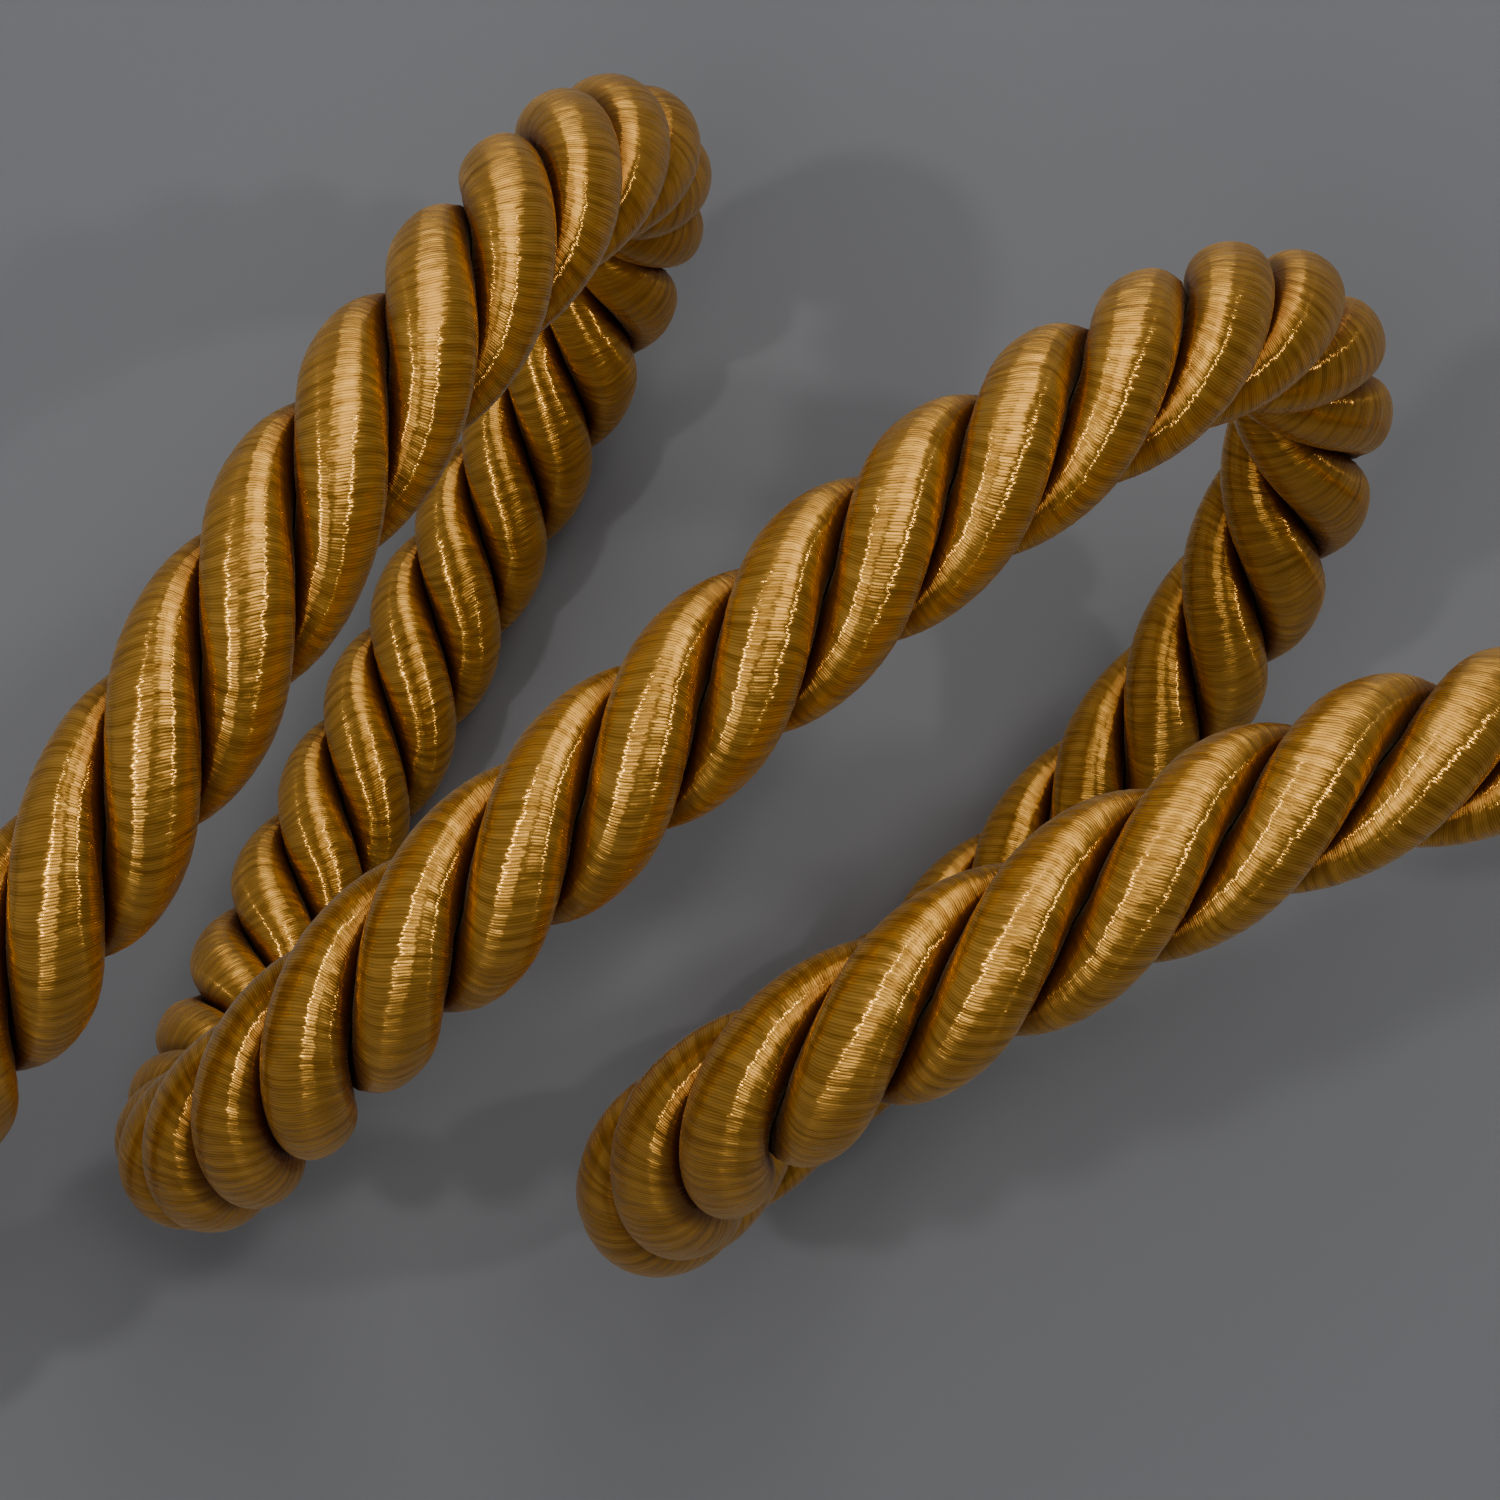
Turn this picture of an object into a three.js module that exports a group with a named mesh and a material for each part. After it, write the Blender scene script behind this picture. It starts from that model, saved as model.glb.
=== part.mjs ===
// A cut length of twisted cord trim: three thick plies laid together in a left-handed twist,
// lying in springy loops on their side, its lower stretches and both ends on the surface z = 0.
// Millimetres, +Z up. The origin is under the middle of the cord's outer box.
import * as THREE from "three";

// Driving sizes of the cord
const PLY_COUNT = 3;
const PLY_OFFSET = 2.62; // from the cord's axis to the middle of a ply
const PLY_HALF_DEPTH = 2.48; // half of a ply's width, measured out from the cord's axis
const PLY_HALF_WIDTH = 2.75; // half of a ply's width, measured round the cord
const PLY_GAP = 0.35; // clear space between two plies where they press together
const PRESSED_DEPTH = 0.3; // what lies lower than this is pressed flat on the surface

// How finely the solids follow the twist
const STEPS_PER_TURN = 10;
const SECTION_SIDES = 8;
const ARC_LENGTH_DIVISIONS = 4000;

// Where the first ply stands at the cord's first end, in turns round the axis
const FIRST_PLY_TURN = 0.25;

// The plan place of the route's zero, seen from the origin under the middle of the outer box
const ROUTE_PLACE = { x: -1.14, y: 4.14 };

// The route of the cord's axis, chosen by hand: x, y, z in mm, and lay, the length of one full
// turn of the twist there. The axis is a smooth spline that these points pull along.
const ROUTE = [
  // left end, on the surface, and its rise
  { x: -95, y: -50.5, z: 4.5, lay: 25 },
  { x: -81.5, y: -46.5, z: 4.3, lay: 25 },
  { x: -67, y: -37, z: 14, lay: 25 },
  { x: -52.5, y: -24, z: 38, lay: 26 },
  // first upper stretch
  { x: -39.5, y: -12, z: 53, lay: 27 },
  { x: -30.5, y: 1, z: 57, lay: 27 },
  { x: -23.5, y: 13.5, z: 57, lay: 26.5 },
  { x: -17.5, y: 23.3, z: 53.7, lay: 25.5 },
  { x: -12.4, y: 32.7, z: 48.2, lay: 24.5 },
  // first far bend, going down
  { x: -8.1, y: 40.4, z: 37.7, lay: 24 },
  { x: -6.8, y: 43.3, z: 23.7, lay: 23 },
  { x: -9.8, y: 39, z: 11.5, lay: 22 },
  // first lower stretch, on the surface
  { x: -17.1, y: 26.9, z: 5, lay: 21.3 },
  { x: -26.3, y: 7.6, z: 4.1, lay: 21.3 },
  { x: -32.5, y: -5.5, z: 4.8, lay: 21.5 },
  // first near bend, going up
  { x: -35, y: -16.3, z: 14.5, lay: 22 },
  { x: -33.7, y: -21, z: 29, lay: 23.6 },
  { x: -27.3, y: -17.9, z: 43.5, lay: 24.2 },
  // second upper stretch
  { x: -18.7, y: -10.9, z: 53, lay: 24 },
  { x: -6, y: -0.5, z: 57, lay: 24.2 },
  { x: 8, y: 11.5, z: 57.5, lay: 24.2 },
  { x: 20.8, y: 21.3, z: 54, lay: 24.2 },
  // second far bend, going down
  { x: 28.5, y: 27, z: 46.5, lay: 24.4 },
  { x: 34.3, y: 27.9, z: 36, lay: 24.7 },
  { x: 35.2, y: 23.7, z: 25, lay: 24.7 },
  { x: 31.8, y: 15.9, z: 15.5, lay: 25.2 },
  // second lower stretch, down to the surface
  { x: 24.7, y: 6.2, z: 7.5, lay: 26.2 },
  { x: 14.4, y: -4.2, z: 3.7, lay: 26.7 },
  { x: 4.4, y: -13, z: 4.6, lay: 26.7 },
  // second near bend, going up
  { x: -4, y: -20.6, z: 14.5, lay: 26.7 },
  { x: -6.5, y: -23.2, z: 29, lay: 26.7 },
  { x: -3.4, y: -19.8, z: 43.5, lay: 26.2 },
  // third upper stretch
  { x: 4.4, y: -15.8, z: 53, lay: 25 },
  { x: 17, y: -9, z: 57, lay: 25 },
  { x: 33, y: -0.3, z: 57, lay: 25 },
  { x: 49.8, y: 2.6, z: 50, lay: 25 },
  // right end, going down and along the surface
  { x: 63.5, y: 4.4, z: 34, lay: 25 },
  { x: 73.5, y: 5.2, z: 12, lay: 24 },
  { x: 85, y: 4.6, z: 3.9, lay: 24 },
  { x: 98, y: 2.8, z: 4.4, lay: 24 },
];

// A ply's colour and finish: satin thread in old gold, one tone a ply
const PLIES = [
  { name: "ply_one", color: 0xb9863a },
  { name: "ply_two", color: 0xc08d40 },
  { name: "ply_three", color: 0xb28035 },
];

// The four weights of a uniform cubic spline, t from 0 to 1 along one span
function splineWeights(t) {
  const back = 1 - t;
  return [
    back ** 3 / 6,
    (3 * t ** 3 - 6 * t ** 2 + 4) / 6,
    (-3 * t ** 3 + 3 * t ** 2 + 3 * t + 1) / 6,
    t ** 3 / 6,
  ];
}

// The cord's axis as a smooth curve. One extra point is mirrored on past each end, so that the
// curve starts and stops at the route's own first and last points.
class CordAxis extends THREE.Curve {
  constructor(route) {
    super();
    this.arcLengthDivisions = ARC_LENGTH_DIVISIONS;
    const place = new THREE.Vector4(ROUTE_PLACE.x, ROUTE_PLACE.y, 0, 0);
    const rows = route.map((p) => new THREE.Vector4(p.x, p.y, p.z, p.lay).add(place));
    const before = rows[0].clone().multiplyScalar(2).sub(rows[1]);
    const after = rows.at(-1).clone().multiplyScalar(2).sub(rows.at(-2));
    this.rows = [before, ...rows, after];
  }

  // Place and lay together, as x, y, z and w
  rowAt(t) {
    const spans = this.rows.length - 3;
    const along = THREE.MathUtils.clamp(t, 0, 1) * spans;
    const span = Math.min(Math.floor(along), spans - 1);
    const sum = new THREE.Vector4(0, 0, 0, 0);
    splineWeights(along - span).forEach((weight, i) => {
      sum.addScaledVector(this.rows[span + i], weight);
    });
    return sum;
  }

  getPoint(t, target = new THREE.Vector3()) {
    const row = this.rowAt(t);
    return target.set(row.x, row.y, row.z);
  }
}

// Stations at equal steps along the axis, each with its place, two directions across the cord
// that don't turn about the axis, and the turns that the twist has made by then
function stationsAlong(axis) {
  const up = new THREE.Vector3(0, 0, 1);
  const length = axis.getLength();
  const meanLay = ROUTE.reduce((sum, p) => sum + p.lay, 0) / ROUTE.length;
  const steps = Math.round((length / meanLay) * STEPS_PER_TURN);
  const step = length / steps;
  const stations = [];
  for (let i = 0; i <= steps; i++) {
    const t = axis.getUtoTmapping(i / steps);
    const place = axis.getPoint(t);
    const along = axis.getTangent(t);
    const lay = axis.rowAt(t).w;
    const last = stations.at(-1);
    const side = last ? last.side.clone() : along.clone().cross(up);
    side.addScaledVector(along, -side.dot(along)).normalize();
    const across = along.clone().cross(side);
    const turns = last ? last.turns + step / ((lay + last.lay) / 2) : 0;
    stations.push({ place, side, across, lay, turns });
  }
  return stations;
}

// One ply's section: a round that is pressed flat where it meets its neighbours, as points
// measured out from the cord's axis and round it
function plySection() {
  const halfShare = Math.PI / PLY_COUNT;
  const section = [];
  for (let corner = 0; corner < SECTION_SIDES; corner++) {
    const angle = (2 * Math.PI * (corner + 0.5)) / SECTION_SIDES;
    const out = PLY_OFFSET + PLY_HALF_DEPTH * Math.cos(angle);
    const room = out * Math.tan(halfShare) - PLY_GAP / 2 / Math.cos(halfShare);
    const round = THREE.MathUtils.clamp(PLY_HALF_WIDTH * Math.sin(angle), -room, room);
    section.push({ out, round });
  }
  return section;
}

// One ply as a closed solid: its section at every station, turned left-handed with the twist,
// pressed flat on the surface where it would dip below it, and closed by a flat cut at each end.
// Each four-cornered face is split along the cord. The face that presses on the next ply is
// split the other way, as that ply's own face is, so that the two lie side by side.
function plyGeometry(stations, index) {
  const section = plySection();
  const sides = section.length;
  const positions = [];
  for (const station of stations) {
    const angle = -2 * Math.PI * (station.turns + FIRST_PLY_TURN + index / PLY_COUNT);
    const outward = station.side.clone().multiplyScalar(Math.cos(angle))
      .addScaledVector(station.across, Math.sin(angle));
    const sideways = station.side.clone().multiplyScalar(-Math.sin(angle))
      .addScaledVector(station.across, Math.cos(angle));
    for (const { out, round } of section) {
      const point = station.place.clone().addScaledVector(outward, out).addScaledVector(sideways, round);
      positions.push(point.x, point.y, point.z < PRESSED_DEPTH ? 0 : point.z);
    }
  }
  const faces = [];
  for (let ring = 0; ring + 1 < stations.length; ring++) {
    for (let j = 0; j < sides; j++) {
      const next = (j + 1) % sides;
      const here = ring * sides + j;
      const beside = ring * sides + next;
      const pressesOnNextPly = section[j].out < PLY_OFFSET && section[next].round > 0;
      if (pressesOnNextPly) {
        faces.push(here, beside, here + sides);
        faces.push(beside, beside + sides, here + sides);
      } else {
        faces.push(here, beside, beside + sides);
        faces.push(here, beside + sides, here + sides);
      }
    }
  }
  const lastRing = (stations.length - 1) * sides;
  for (let j = 1; j + 1 < sides; j++) {
    faces.push(0, j + 1, j);
    faces.push(lastRing, lastRing + j, lastRing + j + 1);
  }
  const geometry = new THREE.BufferGeometry();
  geometry.setAttribute("position", new THREE.Float32BufferAttribute(positions, 3));
  geometry.setIndex(faces);
  geometry.computeVertexNormals();
  return geometry;
}

function makeCord() {
  const stations = stationsAlong(new CordAxis(ROUTE));
  const cord = new THREE.Group();
  PLIES.forEach(({ name, color }, index) => {
    const thread = new THREE.MeshStandardMaterial({ color, roughness: 0.42, metalness: 0.1 });
    const ply = new THREE.Mesh(plyGeometry(stations, index), thread);
    ply.name = name;
    cord.add(ply);
  });
  return cord;
}

export default makeCord();
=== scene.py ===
import math

import bpy
import numpy as np
from mathutils import Matrix, Vector


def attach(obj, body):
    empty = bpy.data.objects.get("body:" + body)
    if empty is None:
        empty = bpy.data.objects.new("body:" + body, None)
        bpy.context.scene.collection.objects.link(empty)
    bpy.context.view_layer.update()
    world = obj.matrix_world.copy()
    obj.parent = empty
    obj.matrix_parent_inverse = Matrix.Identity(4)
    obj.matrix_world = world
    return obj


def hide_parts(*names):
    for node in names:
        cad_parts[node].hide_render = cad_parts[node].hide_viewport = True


bl_info = {
    "name": "Twisted Cord Trim",
    "version": (1, 0, 0),
    "blender": (4, 5, 0),
    "location": "View3D > Sidebar > Cord Trim",
    "description": "Lays a cut length of satin-wrapped twisted cord in springy loops and lights it",
    "category": "Object",
}

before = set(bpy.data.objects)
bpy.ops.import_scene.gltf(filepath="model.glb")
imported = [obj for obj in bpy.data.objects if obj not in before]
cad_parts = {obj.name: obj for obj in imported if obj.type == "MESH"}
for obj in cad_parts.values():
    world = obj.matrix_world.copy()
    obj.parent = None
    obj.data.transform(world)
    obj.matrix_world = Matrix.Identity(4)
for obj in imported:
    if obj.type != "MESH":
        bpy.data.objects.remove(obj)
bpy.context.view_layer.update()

# The route of the cord's axis, in metres: x, y, z, and the lay, which is the length
# of one full turn of the twist there. The axis is a smooth spline that these points pull along.
ROUTE_PLACE = (-0.00114, 0.00414, 0.0, 0.0)  # added to every row
ROUTE = (
    # left end, on the surface, and its rise
    (-0.0950, -0.0505, 0.0045, 0.0250),
    (-0.0815, -0.0465, 0.0043, 0.0250),
    (-0.0670, -0.0370, 0.0140, 0.0250),
    (-0.0525, -0.0240, 0.0380, 0.0260),
    # first upper stretch
    (-0.0395, -0.0120, 0.0530, 0.0270),
    (-0.0305, 0.0010, 0.0570, 0.0270),
    (-0.0235, 0.0135, 0.0570, 0.0265),
    (-0.0175, 0.0233, 0.0537, 0.0255),
    (-0.0124, 0.0327, 0.0482, 0.0245),
    # first far bend, going down
    (-0.0081, 0.0404, 0.0377, 0.0240),
    (-0.0068, 0.0433, 0.0237, 0.0230),
    (-0.0098, 0.0390, 0.0115, 0.0220),
    # first lower stretch, on the surface
    (-0.0171, 0.0269, 0.0050, 0.0213),
    (-0.0263, 0.0076, 0.0041, 0.0213),
    (-0.0325, -0.0055, 0.0048, 0.0215),
    # first near bend, going up
    (-0.0350, -0.0163, 0.0145, 0.0220),
    (-0.0337, -0.0210, 0.0290, 0.0236),
    (-0.0273, -0.0179, 0.0435, 0.0242),
    # second upper stretch
    (-0.0187, -0.0109, 0.0530, 0.0240),
    (-0.0060, -0.0005, 0.0570, 0.0242),
    (0.0080, 0.0115, 0.0575, 0.0242),
    (0.0208, 0.0213, 0.0540, 0.0242),
    # second far bend, going down
    (0.0285, 0.0270, 0.0465, 0.0244),
    (0.0343, 0.0279, 0.0360, 0.0247),
    (0.0352, 0.0237, 0.0250, 0.0247),
    (0.0318, 0.0159, 0.0155, 0.0252),
    # second lower stretch, down to the surface
    (0.0247, 0.0062, 0.0075, 0.0262),
    (0.0144, -0.0042, 0.0037, 0.0267),
    (0.0044, -0.0130, 0.0046, 0.0267),
    # second near bend, going up
    (-0.0040, -0.0206, 0.0145, 0.0267),
    (-0.0065, -0.0232, 0.0290, 0.0267),
    (-0.0034, -0.0198, 0.0435, 0.0262),
    # third upper stretch
    (0.0044, -0.0158, 0.0530, 0.0250),
    (0.0170, -0.0090, 0.0570, 0.0250),
    (0.0330, -0.0003, 0.0570, 0.0250),
    (0.0498, 0.0026, 0.0500, 0.0250),
    # right end, going down and along the surface
    (0.0635, 0.0044, 0.0340, 0.0250),
    (0.0735, 0.0052, 0.0120, 0.0240),
    (0.0850, 0.0046, 0.0039, 0.0240),
    (0.0980, 0.0028, 0.0044, 0.0240),
)
FIRST_PLY_TURN = 0.25  # turns round the axis, first ply at the cord's first end
PLY_NAMES = ("one", "two", "three")
PLY_HALF_SHARE = math.pi / len(PLY_NAMES)  # half of the angle round the axis that each ply has
STATION_STEP = 0.0002  # from one station along the axis to the next
SPANS_CUT = 80  # places worked out along each span of the spline
OUTSIDE_BIAS = 0.35  # how much closer together points are on the outside of the cord
UNEVENNESS_SEED = 40
SWELL_RINGS = 18  # rings over which a ply swells and narrows
SPARE_KNOTS = 4  # random numbers kept beyond the last ring
END_ROUND = 0.0005  # how far the edge of a cut end is rounded
END_STRAIGHT = 0.004  # the threads' lean is gone at the cut, over this length
THREAD_MAP = "ThreadMap"  # U counts turns of thread along a ply, V is millimetres round it
MILLIMETRES = 1000  # in a metre


class CordSizes(bpy.types.PropertyGroup):
    diameter: bpy.props.FloatProperty(
        name="Cord Diameter",
        description="Width of the whole cord over its three plies",
        default=0.010,
        unit="LENGTH",
    )
    ply_offset: bpy.props.FloatProperty(
        name="Ply Offset",
        description="From the cord's axis to the middle of a ply",
        default=0.00262,
        precision=5,
        unit="LENGTH",
    )
    ply_half_width: bpy.props.FloatProperty(
        name="Ply Half Width",
        description="Half of a ply's width, measured round the cord",
        default=0.00295,
        precision=5,
        unit="LENGTH",
    )
    ply_gap: bpy.props.FloatProperty(
        name="Ply Gap",
        description="Clear space between two plies where they press together",
        default=0.00012,
        precision=5,
        unit="LENGTH",
    )
    thread_pitch: bpy.props.FloatProperty(
        name="Thread Pitch",
        description="From one turn of the wrapping thread to the next",
        default=0.00013,
        precision=5,
        unit="LENGTH",
    )
    ring_step: bpy.props.FloatProperty(
        name="Ring Step",
        description="From one ring of points on a ply to the next",
        default=0.00022,
        precision=5,
        unit="LENGTH",
    )
    section_sides: bpy.props.IntProperty(
        name="Sides",
        description="Points round a ply's section",
        default=26,
        min=8,
    )
    thread_unevenness: bpy.props.FloatProperty(
        name="Thread Unevenness",
        description="How far the wrapped thread may stand in or out from one ring of points to the next",
        default=0.000012,
        precision=6,
        unit="LENGTH",
    )
    ply_unevenness: bpy.props.FloatProperty(
        name="Ply Unevenness",
        description="How far a ply swells and narrows along its length",
        default=0.00006,
        precision=6,
        unit="LENGTH",
    )


class ThreadLook(bpy.types.PropertyGroup):
    gold: bpy.props.FloatVectorProperty(
        name="Gold Thread",
        description="Colour of the satin thread",
        default=(0.80, 0.44, 0.105),
        subtype="COLOR",
    )
    # the deep gold is both the darker turns' own colour and the painted shade in the gaps between turns
    deep_gold_and_gap_shade: bpy.props.FloatVectorProperty(
        name="Deep Gold Thread",
        description="Colour of the darker turns of thread",
        default=(0.47, 0.235, 0.045),
        subtype="COLOR",
    )
    # painted shade: the colour the thread is darkened to deep in the grooves between two plies, standing
    # in for the shade there
    groove_painted_shade: bpy.props.FloatVectorProperty(
        name="Groove Painted Shade",
        description="Colour of the thread deep between two plies",
        default=(0.22, 0.065, 0.006),
        subtype="COLOR",
    )
    roughness: bpy.props.FloatProperty(
        name="Thread Roughness",
        description="Roughness of the satin thread",
        default=0.22,
        subtype="FACTOR",
    )
    thread_round: bpy.props.FloatProperty(
        name="Thread Roundness",
        description="How far the sides of a turn of thread slope away",
        default=0.30,
        subtype="FACTOR",
    )
    thread_jag: bpy.props.FloatProperty(
        name="Thread Jag",
        description="How unevenly the turns of thread lie, which makes the edges of a gleam jagged",
        default=0.28,
        subtype="FACTOR",
    )


class StageLook(bpy.types.PropertyGroup):
    floor_colour: bpy.props.FloatVectorProperty(
        name="Floor Colour",
        description="Colour of the plain grey floor",
        default=(0.23, 0.237, 0.253),
        subtype="COLOR",
    )
    lens: bpy.props.FloatProperty(
        name="Lens",
        description="Focal length on a 36 mm sensor",
        default=82.3,
        unit="CAMERA",
    )


# Shape of the cord


def spline_rows(route, place):
    """Points of the axis with their lay, along a uniform cubic spline that the route pulls."""
    rows = np.array(route) + np.array(place)
    before = 2 * rows[0] - rows[1]
    after = 2 * rows[-1] - rows[-2]
    rows = np.vstack([before, rows, after])
    t = np.linspace(0.0, 1.0, SPANS_CUT, endpoint=False)[:, None]
    # how strongly each of four rows pulls on the span between the middle two
    weights = (
        (1 - t) ** 3 / 6,
        (3 * t**3 - 6 * t**2 + 4) / 6,
        (-3 * t**3 + 3 * t**2 + 3 * t + 1) / 6,
        t**3 / 6,
    )
    spans = []
    for i in range(len(rows) - 3):
        spans.append(sum(weights[k] * rows[i + k] for k in range(4)))
    # rows[-2] is the route's own last point, where the axis stops
    spans.append(rows[-2])
    return np.vstack(spans)


def at_steps(rows, along, steps):
    """Each column of rows at the lengths in steps, the rows lying at the lengths in along."""
    return np.stack([np.interp(steps, along, rows[:, k]) for k in range(rows.shape[1])], axis=-1)


def lengths_along(points):
    """How far each point is from the first, measured along the points."""
    return np.concatenate([[0.0], np.cumsum(np.linalg.norm(np.diff(points, axis=0), axis=1))])


def running_total(values, steps):
    """The area under values up to each step."""
    pieces = np.diff(steps) * (values[1:] + values[:-1]) / 2
    return np.concatenate([[0.0], np.cumsum(pieces)])


def lay_stations(sizes):
    """Stations along the axis with a frame that doesn't turn about it, and the twist's turns."""
    rows = spline_rows(ROUTE, ROUTE_PLACE)
    along = lengths_along(rows[:, :3])
    length = along[-1]
    steps = np.linspace(0.0, length, round(length / STATION_STEP) + 1)
    rows = at_steps(rows, along, steps)
    place = rows[:, :3]
    lay = rows[:, 3]
    ahead = np.gradient(place, steps, axis=0)
    ahead /= np.linalg.norm(ahead, axis=1)[:, None]
    side = np.zeros_like(place)
    last = np.cross(ahead[0], (0.0, 0.0, 1.0))
    for i, direction in enumerate(ahead):
        last = last - direction * last.dot(direction)
        last /= np.linalg.norm(last)
        side[i] = last
    climb = 2 * math.pi * sizes.ply_offset / lay  # how steeply a ply winds round the axis
    return {
        "along": steps,
        "place": place,
        "side": side,
        "across": np.cross(ahead, side),
        "turns": running_total(1 / lay, steps),
        "ply_length": running_total(np.sqrt(1 + climb**2), steps),
        # how far a thread goes for each metre across its ply: along the axis, and along the ply
        "slant": climb / (1 + climb**2),
        "lean": climb / np.sqrt(1 + climb**2),
    }


def smooth_noise(random, count, reach):
    """Uneven numbers from about -1 to 1 that change smoothly over that many steps."""
    knots = random.uniform(-1.0, 1.0, count // reach + SPARE_KNOTS)
    at = np.arange(count) / reach
    left = at.astype(int)
    t = at - left
    t = t * t * (3 - 2 * t)
    return knots[left] * (1 - t) + knots[left + 1] * t


def ply_points(stations, sizes, index):
    """Rings of points on one ply, square across it as its threads are, and their thread map."""
    random = np.random.default_rng(UNEVENNESS_SEED + index)
    ply_length = stations["ply_length"]
    rings = int(ply_length[-1] / sizes.ring_step)
    along = np.interp(
        np.linspace(0.0, ply_length[-1], rings), ply_length, stations["along"]
    )
    turn = np.linspace(-math.pi, math.pi, sizes.section_sides + 1)
    turn = turn - OUTSIDE_BIAS * np.sin(turn)
    swell = sizes.ply_unevenness * smooth_noise(random, rings, SWELL_RINGS)
    swell += sizes.thread_unevenness * random.uniform(-1.0, 1.0, rings)
    # the cut ends are a little rounded
    to_end = np.minimum(along, stations["along"][-1] - along)
    swell -= END_ROUND * np.clip(1 - to_end / END_ROUND, 0.0, 1.0) ** 2
    # the section is an oval, cut off on both sides where the other plies press on it
    half_depth = sizes.diameter / 2 - sizes.ply_offset
    out = sizes.ply_offset + (half_depth + swell[:, None]) * np.cos(turn)
    room = out * math.tan(PLY_HALF_SHARE) - sizes.ply_gap / 2 / math.cos(PLY_HALF_SHARE)
    around = (sizes.ply_half_width + swell[:, None]) * np.sin(turn)
    around = np.clip(around, -room, room)
    # a turn of thread lies square across the ply, so it leans along the cord's axis
    lean_share = np.clip(to_end / END_STRAIGHT, 0.0, 1.0)[:, None]
    slant = np.interp(along, stations["along"], stations["slant"])[:, None]
    lean = np.interp(along, stations["along"], stations["lean"])[:, None]
    steps = along[:, None] + around * slant * lean_share
    place = at_steps(stations["place"], stations["along"], steps)
    side = at_steps(stations["side"], stations["along"], steps)
    across = at_steps(stations["across"], stations["along"], steps)
    turns = np.interp(steps, stations["along"], stations["turns"])
    angle = -2 * math.pi * (turns + FIRST_PLY_TURN + index / len(PLY_NAMES))
    cos = np.cos(angle)[..., None]
    sin = np.sin(angle)[..., None]
    outward = side * cos + across * sin
    sideways = across * cos - side * sin
    points = place + outward * out[..., None] + sideways * around[..., None]
    # the surface presses the thread flat where the cord lies on it
    points[..., 2] = np.maximum(points[..., 2], 0.0)
    wound = np.interp(steps, stations["along"], ply_length) - around * lean
    round_ply = np.broadcast_to(turn * half_depth * MILLIMETRES, wound.shape)
    thread_map = np.stack([wound / sizes.thread_pitch, round_ply], axis=-1)
    return points, thread_map


def ply_mesh(name, points, thread_map):
    """A closed mesh of quads along the rings, with a flat cut at each end."""
    rings, around = points.shape[:2]
    sides = around - 1  # the last point of a ring is its first one again, for the map
    ring = np.arange(rings - 1)[:, None] * sides
    j = np.arange(sides)[None, :]
    k = (j + 1) % sides
    quads = np.stack([ring + j, ring + k, ring + k + sides, ring + j + sides], axis=-1).reshape(-1, 4)
    first_cap = np.arange(sides)[::-1]
    last_cap = (rings - 1) * sides + np.arange(sides)
    mesh = bpy.data.meshes.new(name)
    faces = quads.tolist() + [first_cap.tolist(), last_cap.tolist()]
    mesh.from_pydata(points[:, :-1].reshape(-1, 3).tolist(), [], faces)
    # the map's own corners: on the last face of a ring it runs on instead of jumping back
    ring_map = np.stack(
        [
            thread_map[:-1, :-1],
            thread_map[:-1, 1:],
            thread_map[1:, 1:],
            thread_map[1:, :-1],
        ],
        axis=2,
    ).reshape(-1, 2)
    cap_map = np.vstack([thread_map[0, :-1][::-1], thread_map[-1, :-1]])
    corners = np.vstack([ring_map, cap_map]).astype(np.float32)
    layer = mesh.uv_layers.new(name=THREAD_MAP)
    layer.uv.foreach_set("vector", corners.ravel())
    # smooth all over but for the two cut ends
    smooth = np.ones(len(mesh.polygons), bool)
    smooth[-2:] = False
    mesh.polygons.foreach_set("use_smooth", smooth)
    mesh.update()
    return mesh


# Satin thread

THREAD_FINISH = {
    "Metallic": 0.7,
    "Anisotropic": 1.0,
    "Specular IOR Level": 0.7,
    "Sheen Weight": 0.18,
    "Sheen Roughness": 0.4,
    "Sheen Tint": (1.0, 0.78, 0.5, 1.0),
}

# Noise on the thread map: its scale along the ply, its scale round it, its detail and its seed
RISE_NOISE = (0.7, 0.5, 2.0, 5.0)
JAG_NOISE = (0.8, 1.1, 3.0, 3.0)
WAVER_NOISE = (0.12, 0.2, 1.0, 11.0)
TONE_NOISE = (0.35, 0.1, 2.0, 23.0)

# How widely the slopes vary, from one side to the other
RISE_WIDTH = 1.2
WAVER_WIDTH = 0.12

# The tone goes from deep gold at 0 to gold at 1
TONE_START = -1.45
TONE_PER_NOISE = 3.2
# painted shade: how much lighter the middle of a turn is than the gap beside it
RIDGE_OVER_PAINTED_GAP_SHADE = 0.7

# Millimetres round the ply, from the outside of the cord, where the painted groove shade begins and ends
GROOVE_SHADE_BEGINS = 3.1
GROOVE_SHADE_ENDS = 4.6


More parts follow.
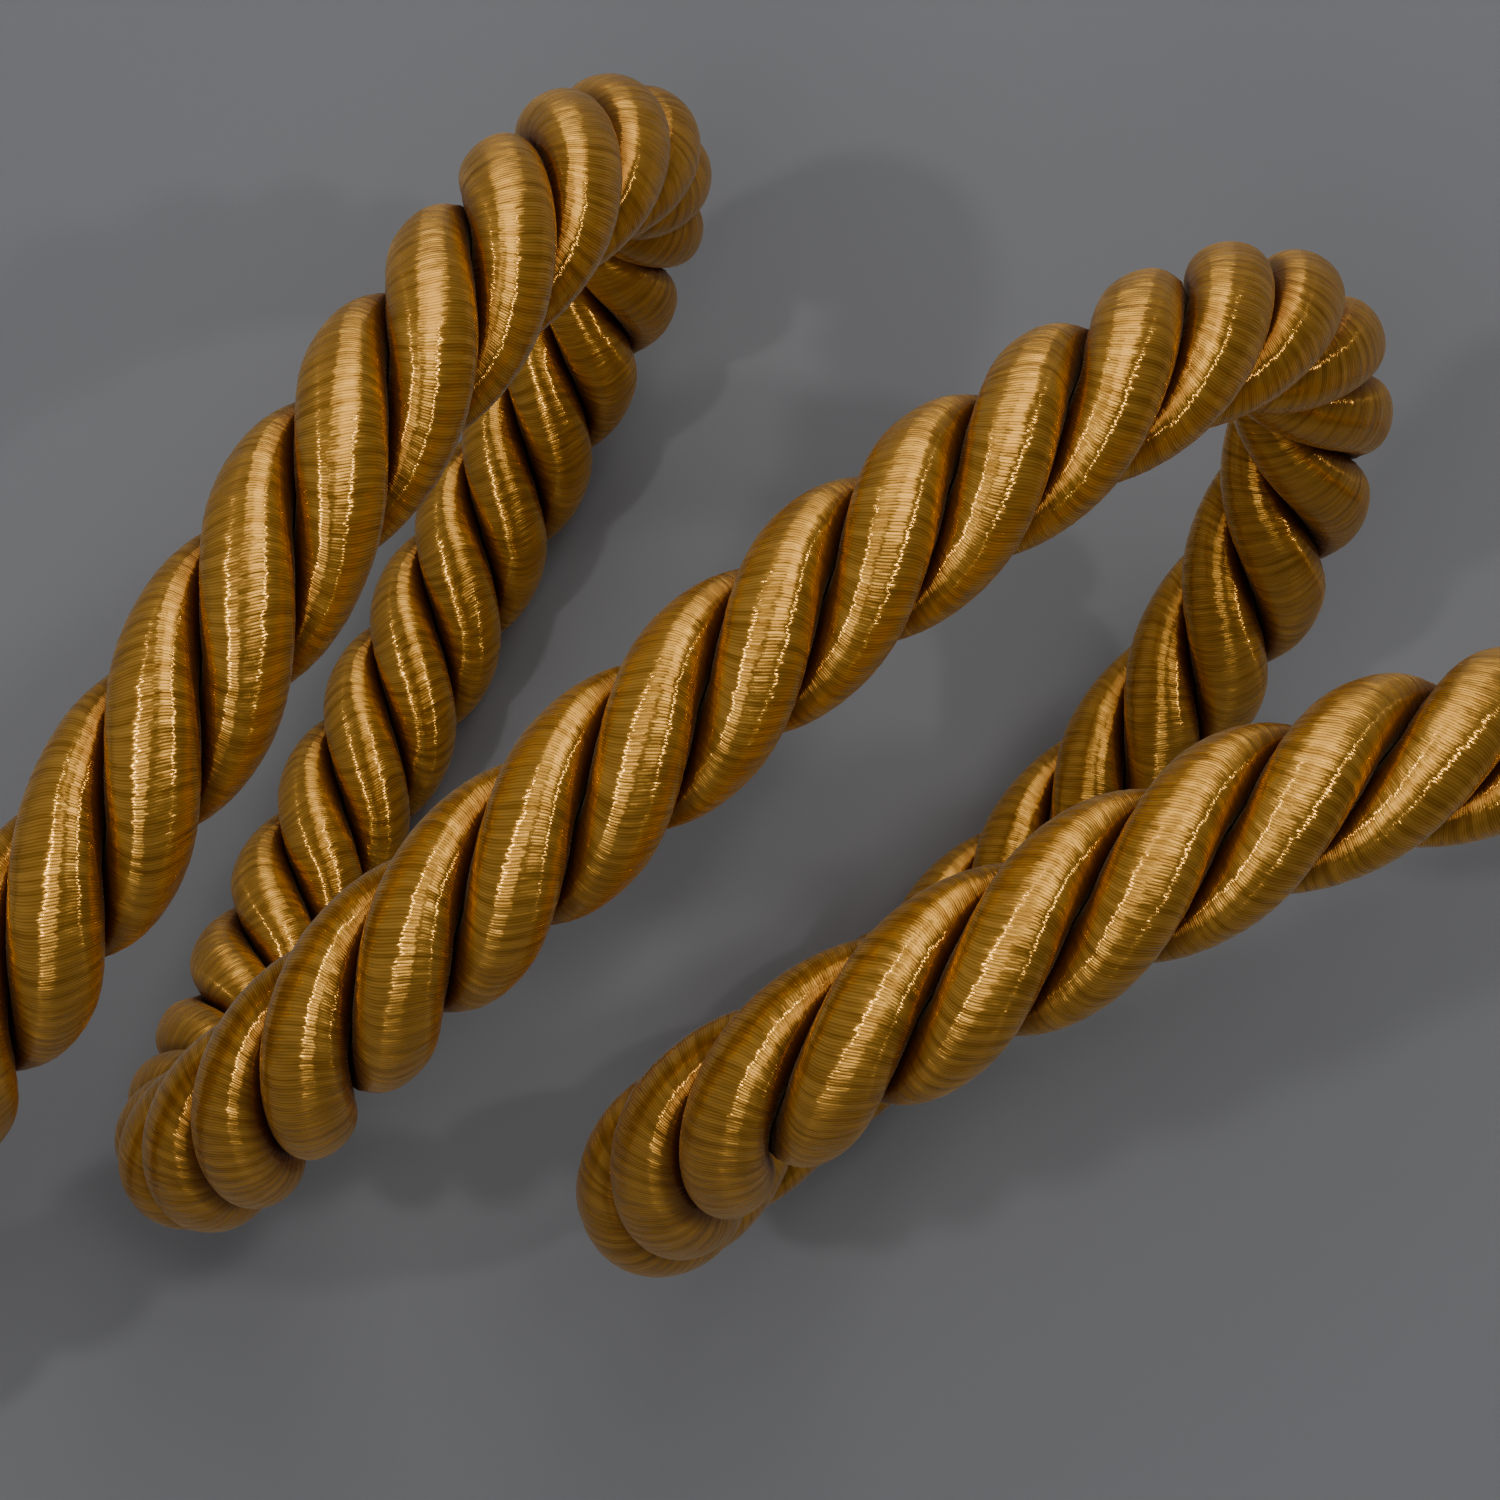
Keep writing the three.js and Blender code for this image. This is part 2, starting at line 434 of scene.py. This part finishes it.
def gold_thread(look):
    """The wrapped thread: fine turns, uneven in their lie and tone, with painted shade between the turns
    and in the grooves.
    """
    material = bpy.data.materials.new("gold_satin_thread")
    material.use_nodes = True
    nodes = material.node_tree.nodes
    links = material.node_tree.links
    shader = nodes["Principled BSDF"]
    shader.inputs["Roughness"].default_value = look.roughness
    for name, value in THREAD_FINISH.items():
        shader.inputs[name].default_value = value

    def worked_out(kind, operation, *values):
        node = nodes.new(kind)
        node.operation = operation
        for socket, value in zip(node.inputs, values):
            if isinstance(value, bpy.types.NodeSocket):
                links.new(value, socket)
            else:
                socket.default_value = value
        return node.outputs[0]

    def math_node(operation, *values):
        return worked_out("ShaderNodeMath", operation, *values)

    def vector_node(operation, *values):
        return worked_out("ShaderNodeVectorMath", operation, *values)

    def leant(normal, direction, slope):
        """The normal leant over in a direction by a slope."""
        scaled = nodes.new("ShaderNodeVectorMath")
        scaled.operation = "SCALE"
        links.new(direction, scaled.inputs["Vector"])
        links.new(slope, scaled.inputs["Scale"])
        return vector_node("ADD", normal, scaled.outputs[0])

    def noise(along, around, detail, seed):
        stretch = nodes.new("ShaderNodeMapping")
        stretch.inputs["Scale"].default_value = (along, around, 1.0)
        stretch.inputs["Location"].default_value = (seed, seed * 2.0, seed)
        links.new(uv.outputs[0], stretch.inputs["Vector"])
        texture = nodes.new("ShaderNodeTexNoise")
        texture.inputs["Scale"].default_value = 1.0
        texture.inputs["Detail"].default_value = detail
        links.new(stretch.outputs[0], texture.inputs["Vector"])
        return texture.outputs["Fac"]

    def slope(noise_row, width):
        """An uneven slope, as far to the one side as to the other."""
        return math_node("MULTIPLY_ADD", noise(*noise_row), width, -width / 2)

    uv = nodes.new("ShaderNodeUVMap")
    uv.uv_map = THREAD_MAP
    split = nodes.new("ShaderNodeSeparateXYZ")
    links.new(uv.outputs[0], split.inputs[0])
    wound = split.outputs["X"]

    along_ply = nodes.new("ShaderNodeTangent")
    along_ply.direction_type = "UV_MAP"
    along_ply.uv_map = THREAD_MAP
    links.new(along_ply.outputs[0], shader.inputs["Tangent"])
    surface = nodes.new("ShaderNodeNewGeometry").outputs["Normal"]
    around_ply = vector_node("CROSS_PRODUCT", surface, along_ply.outputs[0])

    # each turn of thread is round, and lies a little higher, lower or askew of its neighbours;
    # across_thread goes from -1 on the one side of a turn to 1 on the other
    across_thread = math_node("MULTIPLY_ADD", math_node("FRACT", wound), 2.0, -1.0)
    rise = math_node("MULTIPLY", across_thread, look.thread_round)
    rise = math_node("ADD", rise, slope(RISE_NOISE, RISE_WIDTH))
    askew = math_node("ADD", slope(JAG_NOISE, look.thread_jag), slope(WAVER_NOISE, WAVER_WIDTH))
    normal = leant(surface, along_ply.outputs[0], rise)
    normal = leant(normal, around_ply, askew)
    links.new(vector_node("NORMALIZE", normal), shader.inputs["Normal"])

    # turns of thread differ a little in tone at random, and painted shade darkens the lines between them
    shade_free_ridge = math_node("ABSOLUTE", math_node("SINE", math_node("MULTIPLY", wound, math.pi)))
    tone_and_gap_shade = math_node("MULTIPLY_ADD", noise(*TONE_NOISE), TONE_PER_NOISE, TONE_START)
    tone_and_gap_shade = math_node("MULTIPLY_ADD", shade_free_ridge, RIDGE_OVER_PAINTED_GAP_SHADE, tone_and_gap_shade)
    mix = nodes.new("ShaderNodeMix")
    mix.data_type = "RGBA"
    mix.clamp_factor = True
    mix.inputs["A"].default_value = (*look.deep_gold_and_gap_shade, 1.0)
    mix.inputs["B"].default_value = (*look.gold, 1.0)
    links.new(tone_and_gap_shade, mix.inputs["Factor"])

    # painted shade: down in the grooves, where two plies press together, the thread's colour is darkened
    # to stand in for the shade there
    inwards = nodes.new("ShaderNodeMapRange")
    links.new(math_node("ABSOLUTE", split.outputs["Y"]), inwards.inputs["Value"])
    inwards.inputs["From Min"].default_value = GROOVE_SHADE_BEGINS
    inwards.inputs["From Max"].default_value = GROOVE_SHADE_ENDS
    groove = nodes.new("ShaderNodeMix")
    groove.data_type = "RGBA"
    links.new(inwards.outputs[0], groove.inputs["Factor"])
    links.new(mix.outputs["Result"], groove.inputs["A"])
    groove.inputs["B"].default_value = (*look.groove_painted_shade, 1.0)
    links.new(groove.outputs["Result"], shader.inputs["Base Color"])
    return material


class CORDTRIM_OT_lay_plies(bpy.types.Operator):
    """Lay the three wrapped plies together along the cord's route"""

    bl_idname = "cordtrim.lay_plies"
    bl_label = "Lay Plies"

    def execute(self, context):
        sizes = context.scene.cord_sizes
        stations = lay_stations(sizes)
        thread = gold_thread(context.scene.thread_look)
        for index, number in enumerate(PLY_NAMES):
            points, thread_map = ply_points(stations, sizes, index)
            mesh = ply_mesh(f"wrapped_ply_{number}", points, thread_map)
            mesh.materials.append(thread)
            ply = bpy.data.objects.new(mesh.name, mesh)
            context.scene.collection.objects.link(ply)
            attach(ply, "root")
            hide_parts(f"ply_{number}")
        return {"FINISHED"}


# Stage

LOOK_UP_PICTURE = 0.0004  # how far past the route's own place the camera looks
LOOK_HEIGHT = 0.053  # in the upper stretches of the cord
LOOK_AT = Vector((ROUTE_PLACE[0], ROUTE_PLACE[1] + LOOK_UP_PICTURE, LOOK_HEIGHT))
CAMERA_DISTANCE = 0.185
CAMERA_ELEVATION = math.radians(80)
CAMERA_NEAREST = 0.005

FLOOR_WIDTH = 8.0
FLOOR_ROUGHNESS = 0.7

# Each light: degrees right of the zenith, degrees up the picture from it, its width and height, and
# the brightness of its face
LIGHTS = {
    "left_panel": (-17, -26, (0.29, 0.38), 1.75),
    "right_panel": (19, 18, (0.27, 0.44), 1.65),
    "far_panel": (4, 60, (0.46, 0.56), 1.35),
    "left_lamp": (-28, -8, (0.032, 0.032), 120.0),
    "right_lamp": (41, -3, (0.032, 0.032), 105.0),
}
LIGHT_COLOUR = (1.0, 0.98, 0.95)
LIGHT_DISTANCE = 0.6

ROOM_COLOUR = (0.9, 0.93, 1.0, 1.0)
ROOM_LIGHTER_SIDE = (-0.8, 0.5, 0.2)
ROOM_DARKEST = 0.05
ROOM_LIGHTEST = 0.22


def add_area_light(name, right, up, size, brightness):
    """A rectangle of light, so many degrees right of the zenith and up the picture from it."""
    light = bpy.data.lights.new(name, "AREA")
    light.shape = "RECTANGLE"
    light.size, light.size_y = size
    # its power follows from the brightness and the area of its face
    light.energy = brightness * math.pi * size[0] * size[1]
    light.color = LIGHT_COLOUR
    lamp = bpy.data.objects.new(name, light)
    bpy.context.scene.collection.objects.link(lamp)
    towards = Vector((math.tan(math.radians(right)), math.tan(math.radians(up)), 1.0)).normalized()
    x_axis = Vector((0.0, 1.0, 0.0)).cross(towards).normalized()
    turn = Matrix((x_axis, towards.cross(x_axis), towards)).transposed().to_4x4()
    lamp.matrix_world = Matrix.Translation(LOOK_AT + towards * LIGHT_DISTANCE) @ turn
    lamp.visible_camera = False


class CORDTRIM_OT_set_stage(bpy.types.Operator):
    """Set the camera above the loops, the plain floor and the soft studio light"""

    bl_idname = "cordtrim.set_stage"
    bl_label = "Set Stage"

    def execute(self, context):
        look = context.scene.stage_look
        camera = bpy.data.objects.new("camera", bpy.data.cameras.new("camera"))
        context.scene.collection.objects.link(camera)
        camera.data.lens = look.lens
        camera.data.clip_start = CAMERA_NEAREST
        back = Vector((0.0, -math.cos(CAMERA_ELEVATION), math.sin(CAMERA_ELEVATION)))
        camera.location = LOOK_AT + back * CAMERA_DISTANCE
        camera.rotation_euler = (math.pi / 2 - CAMERA_ELEVATION, 0.0, 0.0)
        context.scene.camera = camera

        bpy.ops.object.select_all(action="DESELECT")
        bpy.ops.mesh.primitive_plane_add(size=FLOOR_WIDTH)
        floor = context.object
        floor.name = "floor"
        paint = bpy.data.materials.new("plain_floor")
        paint.use_nodes = True
        shader = paint.node_tree.nodes["Principled BSDF"]
        shader.inputs["Base Color"].default_value = (*look.floor_colour, 1.0)
        shader.inputs["Roughness"].default_value = FLOOR_ROUGHNESS
        floor.data.materials.append(paint)

        context.scene.view_settings.look = "AgX - Medium High Contrast"
        for name, settings in LIGHTS.items():
            add_area_light(name, *settings)

        # the room is dim, and lighter towards the upper left
        world = bpy.data.worlds.new("studio")
        context.scene.world = world
        world.use_nodes = True
        nodes = world.node_tree.nodes
        links = world.node_tree.links
        background = nodes["Background"]
        background.inputs["Color"].default_value = ROOM_COLOUR
        direction = nodes.new("ShaderNodeTexCoord").outputs["Generated"]
        facing = nodes.new("ShaderNodeVectorMath")
        facing.operation = "DOT_PRODUCT"
        links.new(direction, facing.inputs[0])
        facing.inputs[1].default_value = ROOM_LIGHTER_SIDE
        level = nodes.new("ShaderNodeMapRange")
        links.new(facing.outputs["Value"], level.inputs["Value"])
        level.inputs["From Min"].default_value = -1.0
        level.inputs["To Min"].default_value = ROOM_DARKEST
        level.inputs["To Max"].default_value = ROOM_LIGHTEST
        links.new(level.outputs[0], background.inputs["Strength"])
        return {"FINISHED"}


class CORDTRIM_PT_panel(bpy.types.Panel):
    bl_label = "Cord Trim"
    bl_idname = "CORDTRIM_PT_panel"
    bl_space_type = "VIEW_3D"
    bl_region_type = "UI"
    bl_category = "Cord Trim"

    def draw(self, context):
        layout = self.layout
        for group_name in GROUPS:
            group = getattr(context.scene, group_name)
            for name in group.__annotations__:
                layout.prop(group, name)
        for operator in OPERATORS:
            layout.operator(operator.bl_idname)


OPERATORS = (CORDTRIM_OT_set_stage, CORDTRIM_OT_lay_plies)
GROUPS = {"cord_sizes": CordSizes, "thread_look": ThreadLook, "stage_look": StageLook}
CLASSES = (*GROUPS.values(), *OPERATORS, CORDTRIM_PT_panel)


def register():
    for cls in CLASSES:
        bpy.utils.register_class(cls)
    for name, group in GROUPS.items():
        setattr(bpy.types.Scene, name, bpy.props.PointerProperty(type=group))


def unregister():
    for name in GROUPS:
        delattr(bpy.types.Scene, name)
    for cls in reversed(CLASSES):
        bpy.utils.unregister_class(cls)


def main():
    register()
    bpy.ops.cordtrim.set_stage()
    bpy.ops.cordtrim.lay_plies()


if __name__ == "__main__":
    main()
